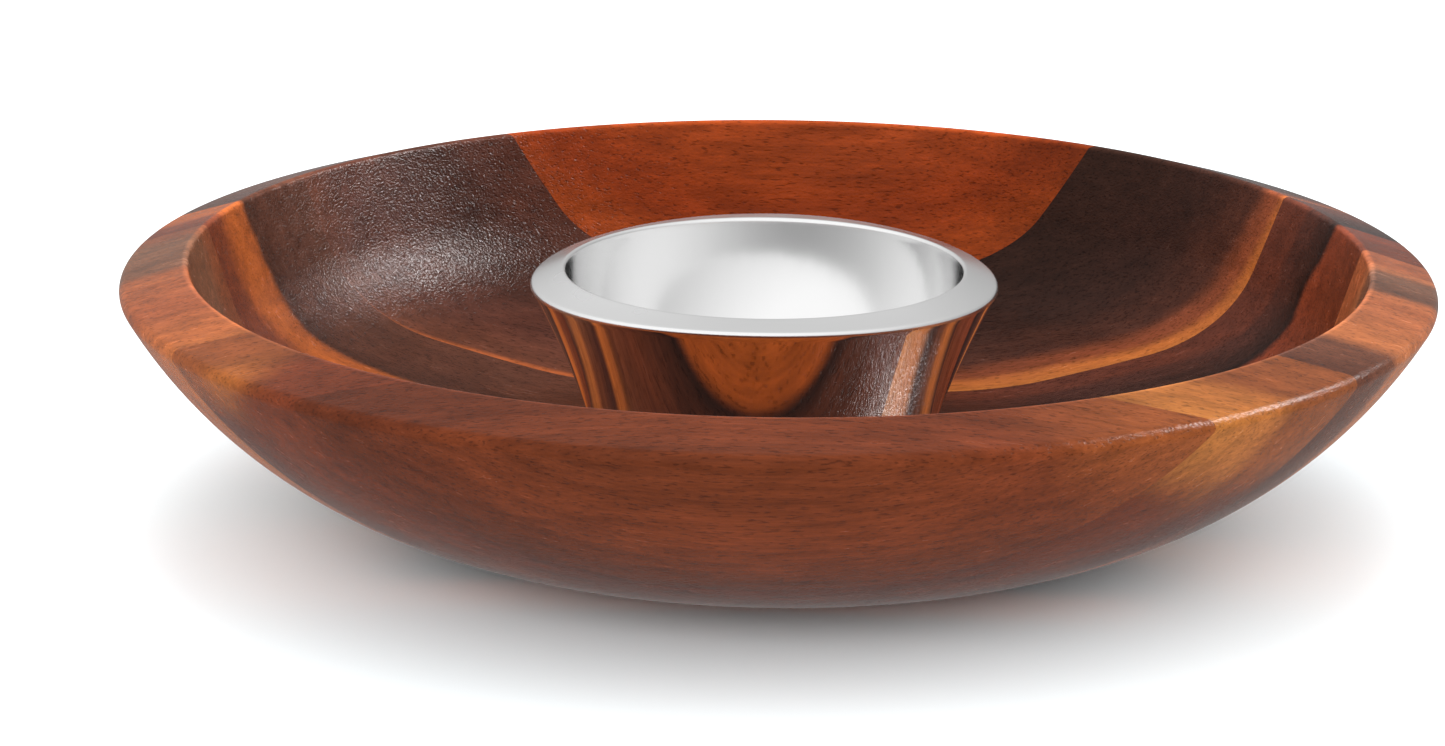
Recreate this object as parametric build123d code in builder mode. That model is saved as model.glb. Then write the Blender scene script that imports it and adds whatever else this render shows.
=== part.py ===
"""Chip and dip server: a shallow wooden bowl glued up from seven boards, with a cast
metal dip cup standing loose on its floor.

Frame: millimetres, +Z up, origin at the centre of the foot, on the surface that the bowl
stands on. The boards run along X, and their glue joints are planes facing Y.
"""

from math import cos, sin, sqrt, tau
import os

from build123d import *

# Bowl, turned after gluing up: radii from its own axis, heights from the foot. The rim's
# edge radius is taken before its crease is rounded, which leaves the bowl 279.4 mm (11 in)
# across.
BOWL_HEIGHT = 57.0
RIM_EDGE_RADIUS = 140.8
RIM_INNER_RADIUS = 125.4
RIM_FALL = 4.8
BELLY_ARC_RADIUS = 103.0
BELLY_CENTRE_RADIUS = 50.8
HOLLOW_DEPTH = 47.0
HOLLOW_CORNER = (115.2, 25.2)
HOLLOW_CORNER_ROUNDING = 30.0
FLOOR_RADIUS = 75.0
FLOOR_EDGE_ROUNDING = 60.0
RIM_CREASE_ROUNDING = 2.2

# Boards: where the glue joints cross Y, from the back of the bowl to its front.
GLUE_JOINTS = (106.5, 62.0, 16.0, -27.0, -71.5, -106.0)
BOARD_NAMES = (
    "plank_1_back",
    "plank_2",
    "plank_3",
    "plank_4_middle",
    "plank_5",
    "plank_6",
    "plank_7_front",
)

# Dip cup: a flared casting whose rim face dips to the left and the right. Its flare is
# drawn up to the stock height, and its rim face is trimmed out of what stands above it.
CUP_OFF_CENTRE = -3.0
CUP_HEIGHT = 44.4
CUP_STOCK_HEIGHT = 46.4
CUP_MOUTH_RADIUS = 42.4
CUP_BASE_RADIUS = 33.5
CUP_WAIST_RADIUS = 41.2
CUP_WAIST_HEIGHT = 22.4
CUP_FLARE_RADIUS = 53.3
CUP_WELL_RADIUS = 30.0
CUP_WELL_HEIGHT = 8.0
CUP_WELL_DRAFT = 0.06
CUP_FLOOR_RADIUS = 28.4
CUP_FLOOR_THICKNESS = 4.4
CUP_BASE_ROUNDING = 3.0
CUP_WELL_ROUNDING = 5.0
CUP_LIP_ROUNDING = 0.8

# The cup's rim face falls this much per millimetre outwards: the mean of all directions,
# and the part that is added along X and taken away along Y.
RIM_SLOPE_MEAN = 0.286
RIM_SLOPE_SADDLE = 0.156
TRIMMER_RADIUS = 62.0
TRIMMER_HEIGHT = 12.0
SADDLE_POINTS = 24

FLOOR_HEIGHT = BOWL_HEIGHT - HOLLOW_DEPTH


def make_turned_bowl() -> Part:
    """Revolve the bowl's section: flat foot, round belly, sloping rim, hollow, floor."""
    rim_edge_height = BOWL_HEIGHT - RIM_FALL
    belly_reach = RIM_EDGE_RADIUS - BELLY_CENTRE_RADIUS
    belly_centre_height = rim_edge_height + sqrt(BELLY_ARC_RADIUS**2 - belly_reach**2)
    foot_radius = BELLY_CENTRE_RADIUS + sqrt(BELLY_ARC_RADIUS**2 - belly_centre_height**2)
    belly_centre = (BELLY_CENTRE_RADIUS, belly_centre_height)
    half_way = Vector(foot_radius, 0) + Vector(RIM_EDGE_RADIUS, rim_edge_height)
    outwards = (half_way * 0.5 - Vector(belly_centre)).normalized()
    belly_middle = Vector(belly_centre) + outwards * BELLY_ARC_RADIUS

    with BuildPart() as turned_bowl:
        with BuildSketch(Plane.XZ) as section:
            with BuildLine():
                Line((0, 0), (foot_radius, 0))
                ThreePointArc((foot_radius, 0), belly_middle, (RIM_EDGE_RADIUS, rim_edge_height))
                Line((RIM_EDGE_RADIUS, rim_edge_height), (RIM_INNER_RADIUS, BOWL_HEIGHT))
                Polyline(
                    (RIM_INNER_RADIUS, BOWL_HEIGHT),
                    HOLLOW_CORNER,
                    (FLOOR_RADIUS, FLOOR_HEIGHT),
                    (0, FLOOR_HEIGHT),
                    (0, 0),
                )
            make_face()
            corners = section.vertices()
            fillet(corners.sort_by(Axis.X)[-1], RIM_CREASE_ROUNDING)
            fillet(corners.sort_by_distance(HOLLOW_CORNER)[0], HOLLOW_CORNER_ROUNDING)
            fillet(corners.sort_by_distance((FLOOR_RADIUS, FLOOR_HEIGHT))[0], FLOOR_EDGE_ROUNDING)
        revolve(axis=Axis.Z)
    return turned_bowl.part


def make_board(turned_bowl: Part, back: float, front: float) -> Part:
    """Cut one board out of the glued-up bowl, between two glue planes."""
    with BuildPart() as board:
        add(turned_bowl)
        with Locations((0, (back + front) / 2, BOWL_HEIGHT / 2)):
            Box(3 * RIM_EDGE_RADIUS, back - front, 2 * BOWL_HEIGHT, mode=Mode.INTERSECT)
    return board.part


def make_rim_trimmer() -> Solid:
    """The stock above the cup's rim face.

    The face is ruled from the level circle of the mouth to a wider, saddle-shaped curve.
    A builder's loft only takes flat sections, so the solid is made from wires instead.
    """
    level = FLOOR_HEIGHT + CUP_HEIGHT
    reach = TRIMMER_RADIUS - CUP_MOUTH_RADIUS
    saddle = []
    for step in range(SADDLE_POINTS):
        angle = tau * step / SADDLE_POINTS
        fall = (RIM_SLOPE_MEAN + RIM_SLOPE_SADDLE * cos(2 * angle)) * reach
        x = CUP_OFF_CENTRE + TRIMMER_RADIUS * cos(angle)
        y = TRIMMER_RADIUS * sin(angle)
        saddle.append((x, y, level - fall))
    mouth_plane = Plane((CUP_OFF_CENTRE, 0, level))
    mouth = Wire([Edge.make_circle(CUP_MOUTH_RADIUS, mouth_plane)])
    skirt = Wire([Edge.make_spline(saddle, periodic=True)])
    lid = Wire([Edge.make_circle(TRIMMER_RADIUS, mouth_plane.offset(TRIMMER_HEIGHT))])
    return Solid.make_loft([mouth, skirt, lid], ruled=True)


def make_dip_cup() -> Part:
    """Revolve the flared cup, trim its rim face to the saddle and round its mouth."""
    well_corner = (CUP_FLOOR_RADIUS, CUP_FLOOR_THICKNESS)
    section_plane = Plane((CUP_OFF_CENTRE, 0, FLOOR_HEIGHT), x_dir=(1, 0, 0), z_dir=(0, -1, 0))
    with BuildPart() as dip_cup:
        with BuildSketch(section_plane) as section:
            with BuildLine():
                Line((0, 0), (CUP_BASE_RADIUS, 0))
                flare = ThreePointArc(
                    (CUP_BASE_RADIUS, 0),
                    (CUP_WAIST_RADIUS, CUP_WAIST_HEIGHT),
                    (CUP_FLARE_RADIUS, CUP_STOCK_HEIGHT),
                )
                Line(flare @ 1, (CUP_MOUTH_RADIUS, CUP_STOCK_HEIGHT))
                Line((CUP_MOUTH_RADIUS, CUP_STOCK_HEIGHT), (CUP_MOUTH_RADIUS, CUP_HEIGHT))
                well_wall = TangentArc(
                    (CUP_MOUTH_RADIUS, CUP_HEIGHT),
                    (CUP_WELL_RADIUS, CUP_WELL_HEIGHT),
                    tangent=(-CUP_WELL_DRAFT, -1),
                )
                Line(well_wall @ 1, well_corner)
                Line(well_corner, (0, CUP_FLOOR_THICKNESS))
                Line((0, CUP_FLOOR_THICKNESS), (0, 0))
            make_face()
            base_corner = section.vertices().group_by(Axis.Y)[0].sort_by(Axis.X)[-1]
            fillet(base_corner, CUP_BASE_ROUNDING)
            fillet(section.vertices().sort_by_distance(well_corner)[0], CUP_WELL_ROUNDING)
        revolve(axis=Axis((CUP_OFF_CENTRE, 0, 0), (0, 0, 1)))
        add(make_rim_trimmer(), mode=Mode.SUBTRACT)
        mouth_edge = dip_cup.edges().filter_by(GeomType.CIRCLE).sort_by(Axis.Z)[-1]
        fillet(mouth_edge, CUP_LIP_ROUNDING)
    return dip_cup.part


def write_part(piece: Part, name: str) -> None:
    """Label a finished piece and write it as its own STEP file."""
    piece.label = name
    export_step(piece, f"parts/{name}.step")


os.makedirs("parts", exist_ok=True)

bowl = make_turned_bowl()
board_faces = (RIM_EDGE_RADIUS + 1, *GLUE_JOINTS, -RIM_EDGE_RADIUS - 1)
for name, back, front in zip(BOARD_NAMES, board_faces, board_faces[1:]):
    write_part(make_board(bowl, back, front), name)

write_part(make_dip_cup(), "dip_cup")
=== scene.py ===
# %% [markdown]
# # A chip and dip server
# A shallow bowl is glued up from seven boards, turned, sanded and oiled. A polished metal
# cup for the dip stands loose on its floor. The frame gives the sizes and the places, and
# this lesson gives the surfaces, the wood, the polish and the light.

# %% Load the frame
from math import cos, pi, radians, sin, sqrt

import bmesh
import bpy
import numpy as np
from mathutils import Matrix, Vector


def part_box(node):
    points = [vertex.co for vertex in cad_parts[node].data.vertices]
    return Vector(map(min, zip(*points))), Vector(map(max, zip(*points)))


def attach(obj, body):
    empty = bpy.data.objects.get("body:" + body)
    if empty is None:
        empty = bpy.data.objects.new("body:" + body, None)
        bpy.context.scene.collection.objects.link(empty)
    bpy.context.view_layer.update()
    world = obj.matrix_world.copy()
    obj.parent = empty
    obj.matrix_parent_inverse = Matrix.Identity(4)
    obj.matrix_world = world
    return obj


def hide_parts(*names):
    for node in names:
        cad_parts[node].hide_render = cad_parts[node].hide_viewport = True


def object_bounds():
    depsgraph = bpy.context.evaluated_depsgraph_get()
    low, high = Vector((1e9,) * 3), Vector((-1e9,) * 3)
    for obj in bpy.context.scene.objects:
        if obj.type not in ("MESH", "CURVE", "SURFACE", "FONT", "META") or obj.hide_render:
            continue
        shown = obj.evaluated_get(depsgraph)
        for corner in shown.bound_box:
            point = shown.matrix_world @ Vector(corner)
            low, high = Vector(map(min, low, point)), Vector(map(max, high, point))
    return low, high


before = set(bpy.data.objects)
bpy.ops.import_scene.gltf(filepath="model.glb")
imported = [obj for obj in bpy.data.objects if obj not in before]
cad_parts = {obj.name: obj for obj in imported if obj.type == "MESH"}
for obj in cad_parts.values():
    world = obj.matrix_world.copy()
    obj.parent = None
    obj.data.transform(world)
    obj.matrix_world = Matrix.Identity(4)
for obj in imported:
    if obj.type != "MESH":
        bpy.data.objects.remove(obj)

MM = 0.001
CAD_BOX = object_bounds()
BOARDS = sorted(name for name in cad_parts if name.startswith("plank"))

# %% [markdown]
# ## A turned surface
# A lathe makes a surface from one section: a line in radius and height, carried round the
# axis. So a turned piece is a grid, with the section along one way and the angle along the
# other. The two ends of the section lie on the axis, and each is closed by a fan of
# triangles round one point, because a ring of points in one place would shade badly.


# %% Grid helpers
def rounded(before, corner, after, count=8):
    """A corner rounded to a circular arc: the rational curve that starts at before, ends at
    after and is pulled towards corner with the weight cosine of half the turn."""
    before, corner, after = (np.asarray(point, float) for point in (before, corner, after))
    way_in = corner - before
    way_out = after - corner
    lengths = np.linalg.norm(way_in, axis=-1) * np.linalg.norm(way_out, axis=-1)
    turn = np.arccos(np.clip((way_in * way_out).sum(-1) / lengths, -1, 1))
    weight = np.cos(turn / 2)[..., None]
    t = np.linspace(0, 1, count).reshape((-1,) + (1,) * before.ndim)
    pull = 2 * t * (1 - t) * weight
    total = (1 - t) ** 2 + pull + t**2
    return ((1 - t) ** 2 * before + pull * corner + t**2 * after) / total


def turned_mesh(name, radius, height, segments):
    """Points at (radius cos angle, radius sin angle, height), one ring for each row of the
    section. radius and height may also change with the angle, as two-way arrays."""
    angle = np.linspace(0, 2 * pi, segments, endpoint=False)
    radius = np.broadcast_to(np.asarray(radius).reshape(len(radius), -1), (len(radius), segments))
    height = np.broadcast_to(np.asarray(height).reshape(len(height), -1), (len(height), segments))
    rings = np.stack([radius * np.cos(angle), radius * np.sin(angle), height], axis=-1)
    body = rings[1:-1]
    count = len(body)
    first_pole = count * segments
    points = np.vstack([body.reshape(-1, 3), rings[0].mean(0), rings[-1].mean(0)])

    index = np.arange(count * segments).reshape(count, segments)
    ahead = np.roll(index, -1, axis=1)
    quads = np.stack([index[:-1], ahead[:-1], ahead[1:], index[1:]], axis=-1).reshape(-1, 4)
    start_fan = np.stack([np.full(segments, first_pole), ahead[0], index[0]], axis=-1)
    end_fan = np.stack([np.full(segments, first_pole + 1), index[-1], ahead[-1]], axis=-1)

    mesh = bpy.data.meshes.new(name)
    mesh.from_pydata(points, [], quads.tolist() + start_fan.tolist() + end_fan.tolist())
    mesh.shade_smooth()
    return mesh


def show(name, mesh):
    """Put a mesh, a lamp or a camera in the scene as an object at the origin."""
    thing = bpy.data.objects.new(name, mesh)
    bpy.context.scene.collection.objects.link(thing)
    return thing


# %% [markdown]
# ## The bowl's section
# The section runs from the middle of the foot, out and up round the belly, over the sloping
# rim and down the hollow to the middle of the floor. The belly and the hollow are single
# arcs, as a turner's templates are. The outer crease is eased, and the inner lip is left
# almost sharp, as the edge of a fine turned rim is.

# %% Work out the section
BOWL_HEIGHT = CAD_BOX[1][2] - CAD_BOX[0][2]
RIM_EDGE_RADIUS = 140.8 * MM
RIM_INNER_RADIUS = 125.4 * MM
RIM_FALL = 4.8 * MM
BELLY_ARC_RADIUS = 103.0 * MM
BELLY_CENTRE_RADIUS = 50.8 * MM
HOLLOW_CORNER = (115.2 * MM, 25.2 * MM)
HOLLOW_SETBACK = 15.4 * MM
FLOOR_RADIUS = 75.0 * MM
FLOOR_EDGE_SETBACK = 10.1 * MM
FLOOR_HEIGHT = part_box("dip_cup")[0][2]
CREASE_SETBACK = 2.7 * MM
LIP_SETBACK = 1.05 * MM
BOWL_SEGMENTS = 448


def arc(centre, radius, start, end, count):
    """Points at an even angle along a circle, from angle start to angle end."""
    angle = np.linspace(start, end, count)
    return np.stack([centre[0] + radius * np.cos(angle), centre[1] + radius * np.sin(angle)], -1)


def along(start, end, start_setback, end_setback):
    """The two points that lie on the line from start to end, set back from its ends."""
    way = (end - start) / np.linalg.norm(end - start)
    return start + way * start_setback, end - way * end_setback


def bowl_section():
    """Foot, belly arc, eased crease, rim face, lip, steep wall, slope and floor. The last
    number of each stretch is its count of points."""
    crease = np.array([RIM_EDGE_RADIUS, BOWL_HEIGHT - RIM_FALL])
    lip = np.array([RIM_INNER_RADIUS, BOWL_HEIGHT])
    reach = RIM_EDGE_RADIUS - BELLY_CENTRE_RADIUS
    belly_height = crease[1] + sqrt(BELLY_ARC_RADIUS**2 - reach**2)
    foot_reach = sqrt(BELLY_ARC_RADIUS**2 - belly_height**2)
    belly_start = np.arctan2(-belly_height, foot_reach)
    belly_end = np.arctan2(crease[1] - belly_height, reach) - CREASE_SETBACK / BELLY_ARC_RADIUS
    belly_centre = (BELLY_CENTRE_RADIUS, belly_height)
    belly = arc(belly_centre, BELLY_ARC_RADIUS, belly_start, belly_end, 72)

    rim_start, rim_end = along(crease, lip, CREASE_SETBACK, LIP_SETBACK)
    bend = np.array(HOLLOW_CORNER)
    floor_edge = np.array([FLOOR_RADIUS, FLOOR_HEIGHT])
    wall_start, wall_end = along(lip, bend, LIP_SETBACK, HOLLOW_SETBACK)
    slope_start, slope_end = along(bend, floor_edge, HOLLOW_SETBACK, FLOOR_EDGE_SETBACK)
    floor_start = floor_edge - (FLOOR_EDGE_SETBACK, 0)
    return np.vstack([
        np.linspace((0, 0), (BELLY_CENTRE_RADIUS + foot_reach, 0), 9)[:-1],
        belly,
        rounded(belly[-1], crease, rim_start, 11)[1:],
        np.linspace(rim_start, rim_end, 10)[1:],
        rounded(rim_end, lip, wall_start, 8)[1:],
        np.linspace(wall_start, wall_end, 16)[1:],
        rounded(wall_end, bend, slope_start, 36)[1:],
        np.linspace(slope_start, slope_end, 14)[1:],
        rounded(slope_end, floor_edge, floor_start, 16)[1:],
        np.linspace(floor_start, (0, FLOOR_HEIGHT), 12)[1:],
    ])


SECTION = bowl_section()
whole_bowl = turned_mesh("whole_bowl", SECTION[:, 0], SECTION[:, 1], BOWL_SEGMENTS)
print("bowl section points", len(SECTION), "widest", round(2 * SECTION[:, 0].max() / MM, 1), "mm")

# %% [markdown]
# ## Sawing the bowl back into its boards
# The real bowl is glued first and turned after, so its boards share one surface. The same
# order works here: the whole bowl is cut by the glue planes, and each cut is closed with a
# flat face. The cut's edges are marked sharp, so the shading runs on from board to board.


# %% Cut the boards
def cut_board(name, mesh, front, back):
    """The slice of mesh between two planes facing Y, with its two cuts closed."""
    work = bmesh.new()
    work.from_mesh(mesh)
    for level, outwards in ((front, -1), (back, 1)):
        bmesh.ops.bisect_plane(
            work,
            geom=work.verts[:] + work.edges[:] + work.faces[:],
            plane_co=(0, level, 0),
            plane_no=(0, outwards, 0),
            clear_outer=True,
        )
    rim = [edge for edge in work.edges if edge.is_boundary]
    caps = bmesh.ops.holes_fill(work, edges=rim)["faces"]
    for edge in rim:
        edge.smooth = False
    for cap in caps:
        cap.smooth = False
    bmesh.ops.triangulate(work, faces=caps)
    slice_mesh = bpy.data.meshes.new(name)
    work.to_mesh(slice_mesh)
    work.free()
    return slice_mesh


boards = {}
for plank in BOARDS:
    low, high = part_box(plank)
    name = plank.replace("plank", "board")
    boards[plank] = show(name, cut_board(name, whole_bowl, low[1], high[1]))
    print(name, "from", round(low[1] / MM, 1), "to", round(high[1] / MM, 1), "mm")
bpy.data.meshes.remove(whole_bowl)

# %% [markdown]
# ## The dip cup
# The cup is one casting, turned all over but for its rim face, which dips to the left and the
# right like a saddle. Its section therefore changes with the angle: the rim face falls from
# the level mouth at a slope that is steepest along X, and the flared wall ends where it meets
# that face. Each round of the loop in cup_rings moves the meeting height closer to its true
# value, at all angles at once.

# %% Shape the cup
CUP_LOW, CUP_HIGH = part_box("dip_cup")
CUP_CENTRE_X = (CUP_LOW[0] + CUP_HIGH[0]) / 2
CUP_HEIGHT = 44.4 * MM
CUP_STOCK_HEIGHT = 46.4 * MM
CUP_MOUTH_RADIUS = 42.4 * MM
CUP_BASE_RADIUS = 33.5 * MM
CUP_WAIST = (41.2 * MM, 22.4 * MM)
CUP_FLARE_RADIUS = 53.3 * MM
WELL_RADIUS = 30.0 * MM
WELL_HEIGHT = 8.0 * MM
WELL_DRAFT = 0.06
WELL_CORNER = (28.4 * MM, 4.4 * MM)
RIM_SLOPE_MEAN = 0.286
RIM_SLOPE_SADDLE = 0.156
MEETING_ROUNDS = 20
BASE_SETBACK = 2.4 * MM
EDGE_SETBACK = 1.1 * MM
EDGE_DROP = 0.85 * EDGE_SETBACK
CUP_LIP_SETBACK = 0.8 * MM
WELL_SETBACK = 2.6 * MM
CUP_SEGMENTS = 288


def circle_through(a, b, c):
    """Centre and radius of the circle through three points: the centre is as far from a as
    from b and from c, which is two straight-line equations."""
    a, b, c = (np.asarray(point) for point in (a, b, c))
    centre = np.linalg.solve(2 * np.array([b - a, c - a]), [b @ b - a @ a, c @ c - a @ a])
    return centre, np.linalg.norm(centre - a)


FLARE_CENTRE, FLARE_RADIUS = circle_through(
    (CUP_BASE_RADIUS, 0), CUP_WAIST, (CUP_FLARE_RADIUS, CUP_STOCK_HEIGHT)
)


def flare(height):
    """Radius of the flared wall at a height: the near side of a large circle whose centre
    lies outside the cup."""
    return FLARE_CENTRE[0] - np.sqrt(FLARE_RADIUS**2 - (height - FLARE_CENTRE[1]) ** 2)


def well_wall(height):
    """Radius of the well's wall at a height: an arc that starts down from the mouth with a
    little draft and closes in towards the floor."""
    run, drop = CUP_MOUTH_RADIUS - WELL_RADIUS, CUP_HEIGHT - WELL_HEIGHT
    start = np.array([-WELL_DRAFT, -1]) / sqrt(1 + WELL_DRAFT**2)
    inwards = np.array([start[1], -start[0]])
    chord = np.array([-run, -drop])
    radius = (chord @ chord) / (2 * chord @ inwards)
    centre = np.array([CUP_MOUTH_RADIUS, CUP_HEIGHT]) + inwards * radius
    return centre[0] + np.sqrt(radius**2 - (height - centre[1]) ** 2)


def pair(radius, height):
    """Radius and height at every angle, side by side."""
    return np.stack(np.broadcast_arrays(radius, height + np.zeros(CUP_SEGMENTS)), axis=-1)


def cup_rings():
    """The cup's section at every angle, from the middle of the base round to the middle of
    the floor. The rim face falls by RIM_SLOPE_MEAN + RIM_SLOPE_SADDLE cos(2 angle) for each
    unit that it runs outwards."""
    angle = np.linspace(0, 2 * pi, CUP_SEGMENTS, endpoint=False)
    slope = RIM_SLOPE_MEAN + RIM_SLOPE_SADDLE * np.cos(2 * angle)
    edge_height = np.full(CUP_SEGMENTS, CUP_HEIGHT)
    for _ in range(MEETING_ROUNDS):
        edge_height = CUP_HEIGHT - slope * (flare(edge_height) - CUP_MOUTH_RADIUS)
    edge = pair(flare(edge_height), edge_height)
    mouth = pair(CUP_MOUTH_RADIUS, CUP_HEIGHT)
    inwards = (mouth - edge) / np.linalg.norm(mouth - edge, axis=-1, keepdims=True)

    flare_top = edge_height - EDGE_DROP
    height = BASE_SETBACK + (flare_top - BASE_SETBACK) * np.linspace(0, 1, 40)[:, None]
    wall = np.stack([flare(height), height], axis=-1)
    rim_start = edge + inwards * EDGE_SETBACK
    rim_end = mouth - inwards * CUP_LIP_SETBACK

    depth = np.linspace(CUP_HEIGHT - CUP_LIP_SETBACK, WELL_HEIGHT, 32)[:, None]
    inside = pair(well_wall(depth), depth)
    well_corner = pair(*WELL_CORNER)
    down = well_corner - inside[-1]
    inner_end = well_corner - down / np.linalg.norm(down, axis=-1, keepdims=True) * WELL_SETBACK
    floor_start = well_corner - (WELL_SETBACK, 0)
    base_end = pair(CUP_BASE_RADIUS - BASE_SETBACK, 0)
    return {
        "base": np.linspace(pair(0, 0), base_end, 7),
        "base_corner": rounded(base_end, pair(CUP_BASE_RADIUS, 0), wall[0], 9)[1:],
        "wall": wall[1:],
        "edge": rounded(wall[-1], edge, rim_start, 9)[1:],
        "rim": np.linspace(rim_start, rim_end, 12)[1:],
        "lip": rounded(rim_end, mouth, inside[0], 8)[1:],
        "inside": inside[1:],
        "well_corner": rounded(inner_end, well_corner, floor_start, 16),
        "floor": np.linspace(floor_start, pair(0, WELL_CORNER[1]), 12)[1:],
    }


rings = cup_rings()
section = np.vstack(list(rings.values()))
cup_mesh = turned_mesh("cup", section[..., 0], section[..., 1], CUP_SEGMENTS)
cup_mesh.transform(Matrix.Translation((CUP_CENTRE_X, 0, FLOOR_HEIGHT)))
cup = show("polished_cup", cup_mesh)
print("cup faces", len(cup_mesh.polygons), "edge dips to",
      round(rings["edge"][..., 1].min() / MM, 1), "mm above its base")

# %% [markdown]
# ## Nodes without clutter
# A material is a small graph. This helper adds one node, sets its values, and links any value
# that is itself a socket, so that a recipe reads from the top to the bottom.


# %% Node helpers
def node(tree, kind, values=None, **settings):
    """Add a node of a kind. values fills its sockets by name or number."""
    made = tree.nodes.new("ShaderNode" + kind)
    for key, value in settings.items():
        setattr(made, key, value)
    for key, value in (values or {}).items():
        if isinstance(value, bpy.types.NodeSocket):
            tree.links.new(value, made.inputs[key])
        else:
            made.inputs[key].default_value = value
    return made


def new_material(name):
    """A node material with its shader ready to be set."""
    material = bpy.data.materials.new(name)
    material.use_nodes = True
    return material, material.node_tree, material.node_tree.nodes["Principled BSDF"]


def tone(red, green, blue):
    """A colour as a screen shows it, from 0 to 255, turned into the light that the shader
    works in."""
    level = np.array([red, green, blue]) / 255
    linear = np.where(level <= 0.04045, level / 12.92, ((level + 0.055) / 1.055) ** 2.4)
    return (*linear, 1.0)


def stretched_noise(tree, place, stretch, detail=3.0, roughness=0.5, distortion=0.0):
    """Noise in cells that are long along the grain. stretch gives cells per metre."""
    scaled = node(tree, "VectorMath", {0: place, 1: stretch}, operation="MULTIPLY")
    values = {"Vector": scaled.outputs[0], "Scale": 1.0, "Detail": detail,
              "Roughness": roughness, "Distortion": distortion}
    return node(tree, "TexNoise", values).outputs["Fac"]


def maths(tree, operation, *terms):
    """One sum, such as ADD or MAXIMUM, on numbers or sockets."""
    return node(tree, "Math", dict(enumerate(terms)), operation=operation).outputs[0]


def remap(tree, value, low, high, to_low, to_high):
    """Straight-line change of range, held at its two ends."""
    values = {"Value": value, "From Min": low, "From Max": high, "To Min": to_low, "To Max": to_high}
    return node(tree, "MapRange", values).outputs["Result"]


def tinted(tree, colour, factor):
    """colour times a grey factor."""
    return node(tree, "VectorMath", {0: colour, "Scale": factor}, operation="SCALE").outputs[0]


# %% [markdown]
# ## Wood that runs through the board
# The boards are one tropical hardwood, but each has its own mix of pale sapwood, orange
# heartwood and dark streaks. The colour is a solid pattern in space rather than a wrap round
# the surface, because turning a board cuts through its rings, and that is what makes the
# bands curve inside the bowl. Each band is a place across the board, bent slowly by noise,
# and the bands change along the board too, as they do in a real plank. Fine streaks and open
# pores, long along X, go on top of them.
#
# The real bowl's inner lip shines as a thin pale line. A lip this small catches little of a soft
# light, so the recipe paints that highlight: the wood is made paler within about a millimetre of it.


# %% Bands across one board
def band_ramp(tree, share, bands):
    """The colour at a share of the way from the board's front to its back. bands lists
    (place, colour), with places from 0 to 1."""
    ramp = node(tree, "ValToRGB", {"Fac": share})
    ramp.color_ramp.interpolation = "EASE"
    steps = ramp.color_ramp.elements
    while len(steps) < len(bands):
        steps.new(0.5)
    for step, (position, colour) in zip(steps, bands):
        step.position = position
        step.color = tone(*colour)
    return ramp.outputs["Color"]


def figured(tree, share, length_way, figure):
    """Bands that change along the board. figure lists (place along X in metres, bands), and
    the colour runs smoothly from each entry to the next."""
    start, bands = figure[0]
    colour = band_ramp(tree, share, bands)
    for end, bands in figure[1:]:
        change = node(tree, "MapRange", {"Value": length_way, "From Min": start, "From Max": end},
                      interpolation_type="SMOOTHSTEP").outputs["Result"]
        mixed = node(tree, "Mix", {"Factor": change, 6: colour, 7: band_ramp(tree, share, bands)},
                     data_type="RGBA")
        colour = mixed.outputs[2]
        start = end
    return colour


# %% Distance from the lip
def off_lip(tree, place, height):
    """How far a point lies from the inner lip: the larger of its offset in radius and its
    depth below the top of the rim."""
    flat = node(tree, "VectorMath", {0: place, 1: (1.0, 1.0, 0.0)}, operation="MULTIPLY")
    radius = node(tree, "VectorMath", {0: flat.outputs[0]}, operation="LENGTH").outputs["Value"]
    offset = maths(tree, "ABSOLUTE", maths(tree, "SUBTRACT", radius, RIM_INNER_RADIUS))
    return maths(tree, "MAXIMUM", offset, maths(tree, "SUBTRACT", BOWL_HEIGHT, height))


# %% Wood recipe
# Each scale of pattern, in cells per metre: along the grain, and twice across it.
BEND_CELLS = (9.0, 26.0, 26.0)
FRINGE_CELLS = (22.0, 190.0, 190.0)
STREAK_CELLS = (16.0, 420.0, 420.0)
CLOUD_CELLS = (55.0, 170.0, 170.0)
FIBRE_CELLS = (110.0, 1900.0, 1900.0)
PORE_CELLS = (420.0, 2300.0, 2300.0)
GRIT_CELLS = (1400.0, 2200.0, 2200.0)
BEND_REACH = 7.0 * MM
FRINGE_REACH = 1.4 * MM
DRIFT_REACH = 30.0 * MM
# A noise mostly stays between the first two levels. A pore opens where its noise passes
# PORE_EDGE and is fully open at PORE_CORE.
MIDDLE_LOW, MIDDLE_HIGH = 0.3, 0.7
PORE_EDGE, PORE_CORE = 0.6, 0.7
PORE_TINT = 0.6
PORE_DEPTH = 0.35
RELIEF_DEPTH = 0.16 * MM
# A painted highlight along the inner lip: the wood is paler within LIP_NEAR of it, fading out by
# LIP_FAR.
LIP_NEAR, LIP_FAR = 0.5 * MM, 1.3 * MM
LIP_HIGHLIGHT_GAIN = 1.8
OIL_ROUGHNESS = (0.2, 0.28)
OIL_SPECULAR = 0.07


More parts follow.
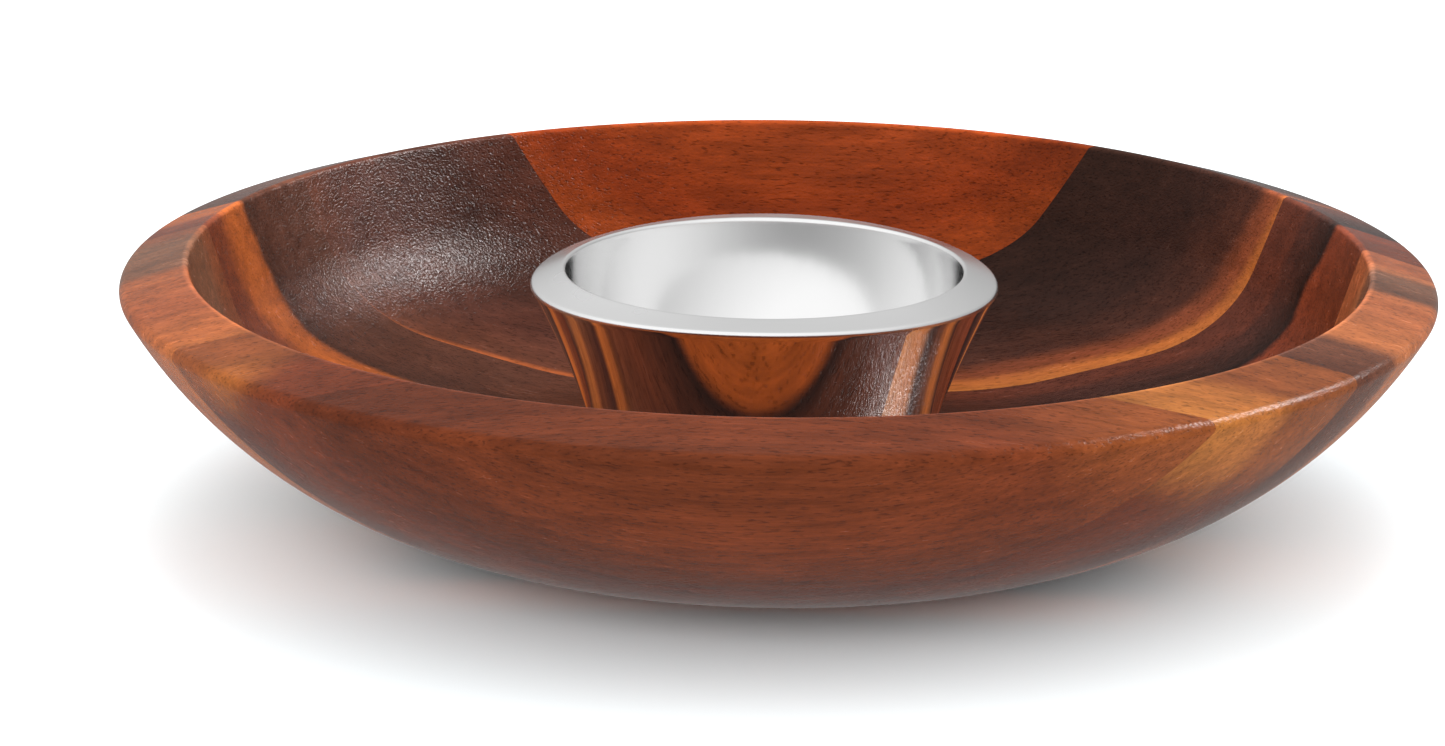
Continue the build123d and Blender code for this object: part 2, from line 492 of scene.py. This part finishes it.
def wood(name, front, back, figure, lean=0.0, dive=0.0, taper=0.0, wander=1.0, seed=0.0):
    """A board's finish between its front and back planes.

    The place across the board is y + lean x + dive z, bent by a slow and a quick noise: lean
    turns the bands towards the grain, and dive tips them over, as rings meet a sawn face.
    wander scales both noises. The place along it is x (1 - taper (rim height - z)), so taper,
    per metre, draws the pattern together towards the top. seed moves the noise, so that no
    two boards share it."""
    material, tree, shader = new_material(name)
    place = node(tree, "TexCoord").outputs["Object"]
    length, _, height = node(tree, "SeparateXYZ", {0: place}).outputs
    moved = node(tree, "VectorMath", {0: place, 1: (seed, 0.37 * seed, 0.71 * seed)},
                 operation="ADD").outputs[0]

    across = node(tree, "VectorMath", {0: place, 1: (lean, 1.0, dive)},
                  operation="DOT_PRODUCT").outputs["Value"]
    slow = stretched_noise(tree, moved, BEND_CELLS, 2.0)
    quick = stretched_noise(tree, moved, FRINGE_CELLS, 3.0)
    bend = remap(tree, slow, 0.0, 1.0, -BEND_REACH * wander, BEND_REACH * wander)
    fringe = remap(tree, quick, 0.0, 1.0, -FRINGE_REACH * wander, FRINGE_REACH * wander)
    bent = maths(tree, "ADD", maths(tree, "ADD", across, bend), fringe)
    share = remap(tree, bent, front, back, 0.0, 1.0)
    spread = maths(tree, "MULTIPLY_ADD", height, taper, 1.0 - taper * BOWL_HEIGHT)
    drift = remap(tree, slow, 0.0, 1.0, -DRIFT_REACH, DRIFT_REACH)
    length_way = maths(tree, "ADD", maths(tree, "MULTIPLY", length, spread), drift)
    colour = figured(tree, share, length_way, figure)

    streaks = stretched_noise(tree, moved, STREAK_CELLS, 4.0, 0.6, 0.3)
    cloud = stretched_noise(tree, moved, CLOUD_CELLS, 4.0, 0.6)
    fibres = stretched_noise(tree, moved, FIBRE_CELLS, 2.0)
    pores = stretched_noise(tree, moved, PORE_CELLS, 1.0, 0.4)
    for pattern, darkest, palest in ((streaks, 0.78, 1.2), (cloud, 0.8, 1.18), (fibres, 0.86, 1.12)):
        colour = tinted(tree, colour, remap(tree, pattern, MIDDLE_LOW, MIDDLE_HIGH, darkest, palest))
    colour = tinted(tree, colour, remap(tree, pores, PORE_EDGE, PORE_CORE, 1.0, PORE_TINT))
    # Painted highlight: the wood is made paler close to the inner lip.
    painted_lip_highlight = remap(tree, off_lip(tree, place, height), LIP_NEAR, LIP_FAR, LIP_HIGHLIGHT_GAIN, 1.0)
    tree.links.new(tinted(tree, colour, painted_lip_highlight), shader.inputs["Base Color"])

    grit = stretched_noise(tree, moved, GRIT_CELLS, 1.0)
    relief = maths(tree, "ADD", grit, remap(tree, pores, PORE_EDGE, PORE_CORE, PORE_DEPTH, 0.0))
    bump = node(tree, "Bump", {"Height": relief, "Strength": 1.0, "Distance": RELIEF_DEPTH})
    tree.links.new(bump.outputs["Normal"], shader.inputs["Normal"])
    roughness = remap(tree, streaks, MIDDLE_LOW, MIDDLE_HIGH, *OIL_ROUGHNESS)
    tree.links.new(roughness, shader.inputs["Roughness"])
    shader.inputs["Specular IOR Level"].default_value = OIL_SPECULAR
    return material


# %% [markdown]
# ## Seven boards, seven figures
# Board 1 is at the back of the bowl and board 7 at the front. The bands are listed from the
# front of each board to its back, once for each place along it where they change.
#
# - Board 1 is orange on the left and a darker red-brown on the right. The right end's darkness is
#   partly the wood's and partly painted shade of the hollow's dim right side.
# - Board 2 is the walnut-brown one. A strip of golden sapwood runs along its front joint on
#   the right, and thins to an orange line on the left. Its brown is darker at the right end,
#   partly the wood and partly painted shade of the hollow's dim right side.
# - Board 3 has an orange band on the left and a thin black line on the right.
# - Board 4 has golden wood and a narrow dark line inside the bowl, and is paler at its ends.
# - Board 5 is orange at the front and brown at the back inside the bowl, with a near-black
#   streak between, and golden or brown at its ends.
# - Board 6 is golden at its two ends and red-brown between them.
# - Board 7 is plain red-brown, lighter towards its right end.

# %% Give each board its figure
FIFTH_MIDDLE = [(0.0, (150, 72, 24)), (0.38, (142, 64, 20)), (0.45, (40, 18, 10)),
                (0.54, (66, 30, 16)), (0.8, (84, 38, 20)), (1.0, (92, 44, 24))]
SIXTH_MIDDLE = [(0.0, (44, 20, 12)), (0.12, (84, 36, 18)), (0.5, (94, 41, 20)), (1.0, (84, 36, 18))]
FIGURES_AND_SHADE = {
    "plank_1_back": dict(figure=[
        (0.02, [(0.0, (112, 42, 10)), (0.3, (134, 54, 14)), (0.6, (118, 43, 10)),
                (1.0, (130, 52, 16))]),
        # Partly painted shade: the right end is darker, as the hollow's right side is shaded.
        (0.08, [(0.0, (84, 31, 7)), (0.3, (96, 38, 9)), (0.6, (92, 34, 8)), (1.0, (104, 42, 12))])],
        lean=0.02, dive=0.3, seed=1.3),
    "plank_2": dict(figure=[
        (-0.05, [(0.0, (188, 98, 44)), (0.035, (165, 84, 40)), (0.08, (90, 49, 33)),
                 (0.4, (78, 42, 31)), (0.8, (62, 33, 24)), (1.0, (72, 37, 26))]),
        # Partly painted shade: the right end is darker, as the hollow's right side is shaded.
        (0.03, [(0.0, (168, 98, 42)), (0.1, (160, 88, 38)), (0.2, (118, 58, 32)),
                (0.34, (64, 33, 22)), (0.65, (46, 25, 18)), (1.0, (42, 23, 16))])],
        dive=0.1, wander=0.3, seed=2.9),
    "plank_3": dict(figure=[
        (-0.06, [(0.0, (96, 42, 22)), (0.2, (108, 50, 26)), (0.38, (160, 80, 30)), (0.5, (148, 74, 30)),
                 (0.56, (66, 36, 24)), (0.7, (76, 42, 29)), (1.0, (84, 48, 34))]),
        (0.04, [(0.0, (84, 38, 20)), (0.35, (98, 44, 24)), (0.62, (108, 47, 25)), (0.68, (36, 20, 15)),
                (0.74, (50, 27, 20)), (0.92, (66, 34, 25)), (1.0, (84, 40, 26))])],
        lean=0.03, dive=0.1, seed=4.1),
    "plank_4_middle": dict(figure=[
        (-0.1, [(0.0, (146, 80, 44)), (0.2, (136, 72, 40)), (0.4, (104, 66, 46)), (0.8, (112, 72, 50)),
                (1.0, (116, 62, 36))]),
        (-0.07, [(0.0, (84, 40, 22)), (0.2, (150, 76, 30)), (0.3, (60, 28, 18)), (0.55, (90, 44, 24)),
                 (0.75, (150, 80, 36)), (1.0, (70, 36, 24))]),
        (0.07, [(0.0, (170, 100, 44)), (0.25, (160, 90, 40)), (0.4, (56, 28, 18)), (0.6, (84, 42, 24)),
                (0.8, (150, 80, 36)), (1.0, (60, 32, 22))]),
        (0.1, [(0.0, (134, 70, 38)), (0.35, (152, 84, 48)), (0.5, (92, 58, 42)), (0.75, (104, 68, 50)),
               (0.88, (152, 88, 54)), (1.0, (140, 74, 42))])],
        lean=0.01, dive=0.1, seed=5.7),
    "plank_5": dict(figure=[
        (-0.1, [(0.0, (142, 80, 38)), (0.3, (150, 80, 40)), (0.7, (134, 68, 36)),
                (1.0, (142, 74, 40))]),
        (-0.07, FIFTH_MIDDLE),
        (0.07, FIFTH_MIDDLE),
        (0.1, [(0.0, (116, 60, 34)), (0.12, (80, 44, 30)), (0.42, (94, 54, 37)), (0.56, (158, 90, 50)),
               (1.0, (152, 84, 48))])],
        dive=0.1, wander=0.4, seed=7.2),
    "plank_6": dict(figure=[
        (-0.1, [(0.0, (100, 50, 24)), (0.22, (132, 74, 28)), (0.6, (140, 78, 32)),
                (1.0, (124, 64, 30))]),
        (-0.08, SIXTH_MIDDLE),
        (0.05, SIXTH_MIDDLE),
        (0.085, [(0.0, (114, 57, 26)), (0.3, (152, 92, 40)), (0.7, (150, 88, 40)),
                 (1.0, (118, 62, 30))])],
        lean=0.03, dive=0.2, taper=14.0, seed=8.8),
    "plank_7_front": dict(figure=[
        (-0.08, [(0.0, (84, 38, 18)), (0.4, (72, 32, 15)), (0.8, (86, 38, 17)), (1.0, (78, 34, 16))]),
        (0.0, [(0.0, (108, 50, 25)), (0.4, (88, 40, 19)), (0.8, (100, 45, 21)), (1.0, (90, 40, 18))]),
        (0.05, [(0.0, (104, 48, 24)), (0.4, (88, 40, 19)), (0.8, (98, 44, 21)), (1.0, (94, 42, 20))]),
        (0.09, [(0.0, (114, 56, 26)), (0.4, (112, 54, 25)), (0.8, (120, 60, 27)),
                (1.0, (124, 64, 29))])],
        lean=0.02, dive=0.3, seed=9.6),
}

for plank, board in boards.items():
    low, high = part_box(plank)
    board.data.materials.append(wood(board.name + "_wood", low[1], high[1], **FIGURES_AND_SHADE[plank]))
    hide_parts(plank)
    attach(board, "bowl")
print("figured boards", len(boards))

# %% [markdown]
# ## Polished metal
# The outside of the cup is buffed to a mirror, so it carries the bowl's bands. The rim face is
# a little hazier, and the inside shows the marks of the polishing mop. One recipe makes all
# three, with more or less haze and with its marks drawn out round the cup or up it.


# %% Metal recipe
HAZE_CELLS = (45.0, 45.0, 45.0)
MARK_DEPTH = 0.05 * MM


def polished(name, haze, haze_spread, ripple, stretch):
    """Bright metal whose haze wanders between two values, with faint marks that run round it
    or up it, as the scale of their noise is stretched."""
    material, tree, shader = new_material(name)
    place = node(tree, "TexCoord").outputs["Object"]
    marks = stretched_noise(tree, place, stretch)
    cloud = stretched_noise(tree, place, HAZE_CELLS, 2.0)
    rough = remap(tree, cloud, MIDDLE_LOW, MIDDLE_HIGH, haze, haze + haze_spread)
    tree.links.new(rough, shader.inputs["Roughness"])
    bump = node(tree, "Bump", {"Height": marks, "Strength": ripple, "Distance": MARK_DEPTH})
    tree.links.new(bump.outputs["Normal"], shader.inputs["Normal"])
    shader.inputs["Base Color"].default_value = tone(235, 235, 235)
    shader.inputs["Metallic"].default_value = 1.0
    return material


# %% Finish the cup
ROUND_IT = (60.0, 60.0, 900.0)
UP_IT = (160.0, 160.0, 12.0)
MIRROR, SATIN, INSIDE = range(3)
STRETCH_FINISH = {"base": MIRROR, "base_corner": MIRROR, "wall": MIRROR, "edge": SATIN, "rim": SATIN,
                  "lip": SATIN, "inside": INSIDE, "well_corner": INSIDE, "floor": INSIDE}
for metal in (polished("cup_mirror", haze=0.02, haze_spread=0.03, ripple=0.05, stretch=ROUND_IT),
              polished("cup_rim_satin", haze=0.2, haze_spread=0.08, ripple=0.1, stretch=ROUND_IT),
              polished("cup_inside", haze=0.1, haze_spread=0.05, ripple=1.0, stretch=UP_IT)):
    cup_mesh.materials.append(metal)
ring_finish = []
for stretch_name, stretch_rings in rings.items():
    ring_finish += [STRETCH_FINISH[stretch_name]] * len(stretch_rings)
between_rings = np.repeat(ring_finish[2:-1], CUP_SEGMENTS)
fans = np.repeat([ring_finish[0], ring_finish[-1]], CUP_SEGMENTS)
face_finish = np.concatenate([between_rings, fans]).astype(np.int32)
cup_mesh.polygons.foreach_set("material_index", face_finish)
print("cup faces: mirror, rim and inside", np.bincount(face_finish))
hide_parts("dip_cup")
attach(cup, "dip_cup")

# %% [markdown]
# ## Floor and lights
# The bowl stands on a white table in a bright room. Three broad lights shape it, from above,
# from the right and from the front. They are kept out of reflections, where their square
# outlines would show in the metal. A tall narrow light on the right does the opposite: it
# touches only the boards' polish, and draws the glint in the hollow. The floor is kept out of
# reflections too, because its white would veil the dark belly.


# %% Floor
def plain(name, colour, roughness):
    """One even colour with no pattern."""
    material, _, shader = new_material(name)
    shader.inputs["Base Color"].default_value = tone(*colour)
    shader.inputs["Roughness"].default_value = roughness
    return material


FLOOR_REACH = 12.0
FLOOR_GAP = 0.2 * MM
corners = [(-FLOOR_REACH, -FLOOR_REACH, 0), (FLOOR_REACH, -FLOOR_REACH, 0),
           (FLOOR_REACH, FLOOR_REACH, 0), (-FLOOR_REACH, FLOOR_REACH, 0)]
floor_mesh = bpy.data.meshes.new("floor")
floor_mesh.from_pydata(corners, [], [(0, 1, 2, 3)])
floor_mesh.materials.append(plain("floor_white", (245, 252, 254), 0.9))
floor = show("floor", floor_mesh)
floor.location.z = CAD_BOX[0][2] - FLOOR_GAP
floor.visible_glossy = False
print("floor at", round(floor.location.z / MM, 1), "mm")


# %% Lights
def soft_light(name, direction, distance, size, power, tall=1.0):
    """A light that hangs in a direction from the bowl and faces it. It is size wide and tall
    times that in height, in metres, and its power is in watts."""
    lamp = bpy.data.lights.new(name, "AREA")
    lamp.shape = "RECTANGLE"
    lamp.size = size
    lamp.size_y = size * tall
    lamp.energy = power
    thing = show(name, lamp)
    way = Vector(direction).normalized()
    thing.location = way * distance
    thing.rotation_euler = way.to_track_quat("Z", "Y").to_euler()
    return thing


for broad in (soft_light("overhead", (0.0, 0.6, 1.0), distance=1.6, size=1.2, power=10.0),
              soft_light("right", (0.9, 0.1, 0.6), distance=1.4, size=1.0, power=3.0),
              soft_light("front_fill", (-0.3, -1.0, 0.4), distance=1.6, size=1.2, power=11.0)):
    broad.visible_glossy = False
    print(broad.name, broad.data.energy, "W")

# The glint touches only what is oiled, and only its polish.
glint = soft_light("right_glint", (0.85, 0.2, 0.62), distance=1.4, size=0.2, power=62.0, tall=3.0)
glint.visible_diffuse = False
oiled = bpy.data.collections.new("oiled")
for board in boards.values():
    oiled.objects.link(board)
glint.light_linking.receiver_collection = oiled

# %% [markdown]
# ## The room
# The room lights the bowl evenly, but what a polish shows of a room is not even. So the world
# gives reflections their own brightness, which grows towards the left, the front and the
# ceiling, and falls off to the right, the back and below. It depends only on the way a ray
# leaves the bowl, and not on where the camera stands.

# %% World
ROOM_LEVEL = 1.5
BRIGHT_WAY = (-0.3, -0.35, 0.6)
DIM_SIDE, BRIGHT_SIDE = -0.3, 0.6
DIM_LEVEL, BRIGHT_LEVEL = 0.45, 1.15

world = bpy.data.worlds.new("room")
world.use_nodes = True
room = world.node_tree
way = node(room, "TexCoord").outputs["Generated"]
side = node(room, "VectorMath", {0: way, 1: BRIGHT_WAY}, operation="DOT_PRODUCT").outputs["Value"]
seen_in_polish = remap(room, side, DIM_SIDE, BRIGHT_SIDE, DIM_LEVEL, BRIGHT_LEVEL)
is_polish = node(room, "LightPath").outputs["Is Glossy Ray"]
level = node(room, "Mix", {0: is_polish, 2: ROOM_LEVEL, 3: seen_in_polish}, data_type="FLOAT")
background = room.nodes["Background"]
background.inputs["Color"].default_value = (1, 1, 1, 1)
room.links.new(level.outputs[0], background.inputs["Strength"])
bpy.context.scene.world = world
bpy.context.scene.view_settings.view_transform = "Standard"
print("room level", ROOM_LEVEL, "and in polish", DIM_LEVEL, "to", BRIGHT_LEVEL)

# %% [markdown]
# ## The camera
# A long lens from a little above the rim keeps the bowl's ellipses calm. The camera circles
# the middle of the rim at a distance, and is then turned so that this point falls a little
# off the middle of the frame. The turn does that rather than a lens shift, which would follow
# the camera to every other view.

# %% Camera
ELEVATION = radians(14.4)
AZIMUTH = radians(2.5)
CAMERA_DISTANCE = 1.4
CAMERA_ROLL = 0.011
LENS = 164.1
SENSOR = 36.0
AIM_RIGHT = 0.0388
AIM_UP = 0.0819

back_way = Vector((sin(AZIMUTH) * cos(ELEVATION), -cos(AZIMUTH) * cos(ELEVATION), sin(ELEVATION)))
rim_centre = Vector((0, 0, BOWL_HEIGHT))
seen_at = Vector((AIM_RIGHT * SENSOR, AIM_UP * SENSOR, -LENS)).normalized()
off_middle = seen_at.rotation_difference(Vector((0, 0, -1))).to_matrix()
facing = back_way.to_track_quat("Z", "Y").to_matrix()
turn = facing @ Matrix.Rotation(CAMERA_ROLL, 3, "Z") @ off_middle
eye = bpy.data.cameras.new("camera")
eye.lens = LENS
eye.sensor_width = SENSOR
camera = show("camera", eye)
camera.matrix_world = Matrix.Translation(rim_centre + back_way * CAMERA_DISTANCE) @ turn.to_4x4()
bpy.context.scene.camera = camera
print("camera", CAMERA_DISTANCE, "m from the rim's middle, lens", LENS, "mm")
